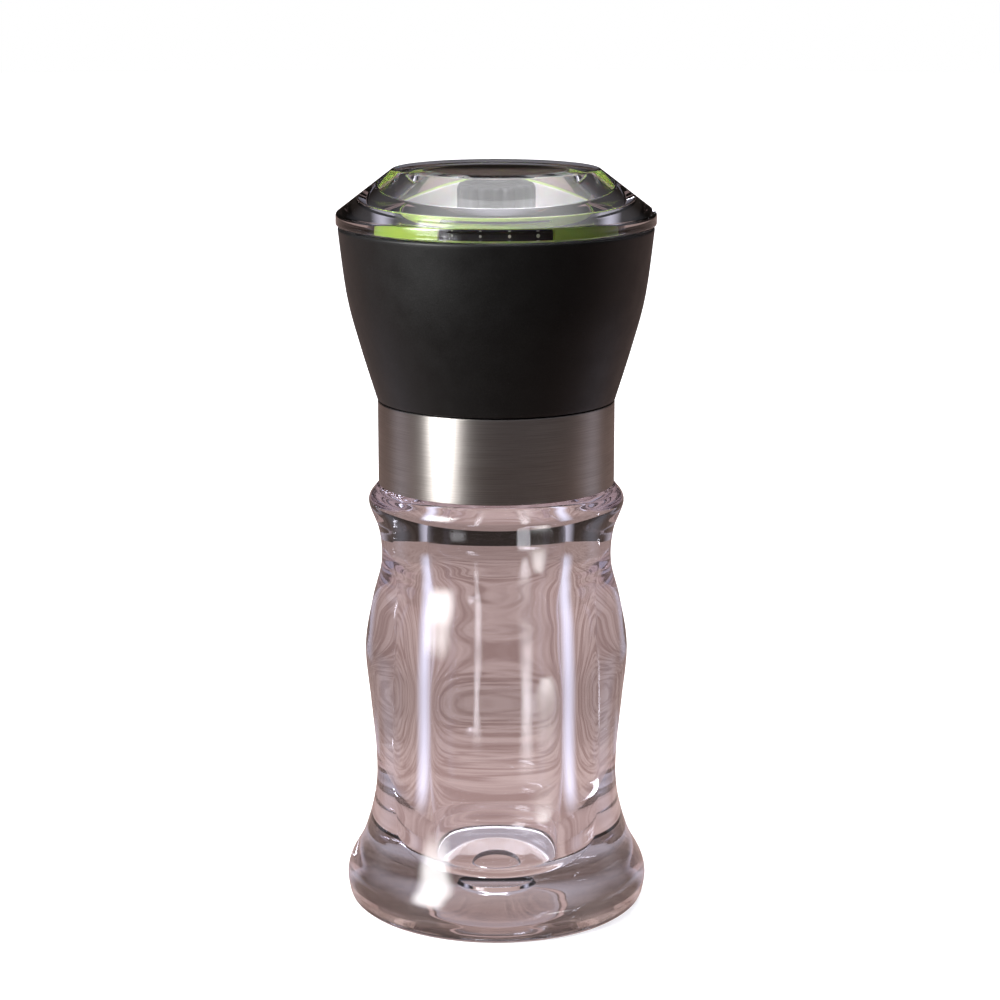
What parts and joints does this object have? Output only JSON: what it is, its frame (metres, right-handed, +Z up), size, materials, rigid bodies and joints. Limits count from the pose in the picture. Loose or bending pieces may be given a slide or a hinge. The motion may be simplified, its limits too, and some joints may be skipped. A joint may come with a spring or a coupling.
{
  "type": "pepper mill",
  "caption": "Hand pepper mill: waisted clear jar below, steel neck band, black twisting head with a ceramic grinder, green coarseness ring and a clear pull-off cap.",
  "frame": {"origin": "centre of the jar's flat underside", "axes": "+Z up along the mill's axis, -Y towards the front, where the coarseness window is at rest"},
  "size_m": [0.0598, 0.0598, 0.1419],
  "materials": {
    "clear_acrylic": "clear polished acrylic, thick, faint lavender tint",
    "matt_black_plastic": "black moulded plastic with a fine matt texture",
    "black_plastic": "black moulded plastic, satin",
    "grey_plastic": "dark grey moulded plastic, satin",
    "green_plastic": "lime green moulded plastic, satin gloss",
    "brushed_steel": "stainless steel brushed round the band",
    "spring_steel": "bright zinc-plated steel",
    "ceramic": "unglazed white technical ceramic",
    "nylon": "natural nylon",
    "silicone": "translucent silicone"
  },
  "bodies": {
    "jar": {"jar": "clear_acrylic"},
    "seal": {"jar_seal": "silicone"},
    "neck": {"neck_collar": "black_plastic", "steel_band": "brushed_steel", "drive_spider": "grey_plastic", "spindle": "spring_steel", "burr_spring": "spring_steel", "spring_washer": "spring_steel", "inner_burr": "ceramic", "burr_washer": "spring_steel", "spindle_knob": "grey_plastic", "thrust_washer": "nylon", "retaining_ring": "spring_steel"},
    "head": {"head_shell": "matt_black_plastic", "head_liner": "grey_plastic", "liner_screw_1": "spring_steel", "liner_screw_2": "spring_steel", "liner_screw_3": "spring_steel", "carriage_spring": "spring_steel", "scale_ring": "black_plastic"},
    "adjuster": {"adjuster_hub": "nylon", "adjuster_ring": "green_plastic"},
    "carriage": {"burr_carriage": "grey_plastic", "ring_burr": "ceramic", "burr_retainer": "spring_steel"},
    "cap": {"cap": "clear_acrylic"}
  },
  "joints": [
    {"name": "neck_lift", "type": "slide", "parent": "jar", "child": "seal", "axis": [0, 0, 1], "range_m": [0, 0.014]},
    {"name": "unscrew", "type": "hinge", "parent": "seal", "child": "neck", "pos_m": [0, 0, 0.09], "axis": [0, 0, 1], "range_deg": [0, 1260]},
    {"name": "grind", "type": "hinge", "parent": "neck", "child": "head", "pos_m": [0, 0, 0.1], "axis": [0, 0, 1], "continuous": true},
    {"name": "coarseness", "type": "hinge", "parent": "head", "child": "adjuster", "pos_m": [0, 0, 0.13], "axis": [0, 0, 1], "range_deg": [0, 75]},
    {"name": "burr_travel", "type": "slide", "parent": "head", "child": "carriage", "axis": [0, 0, 1], "range_m": [-0.0012, 0], "deforming": ["carriage_spring"]},
    {"name": "cap_pull", "type": "slide", "parent": "head", "child": "cap", "axis": [0, 0, 1], "range_m": [0, 0.03]}
  ],
  "couplings": [
    {"joint": "neck_lift", "follows": "unscrew", "m_per_rad": 0.00063662},
    {"joint": "burr_travel", "follows": "coarseness", "m_per_rad": -0.00091673}
  ]
}
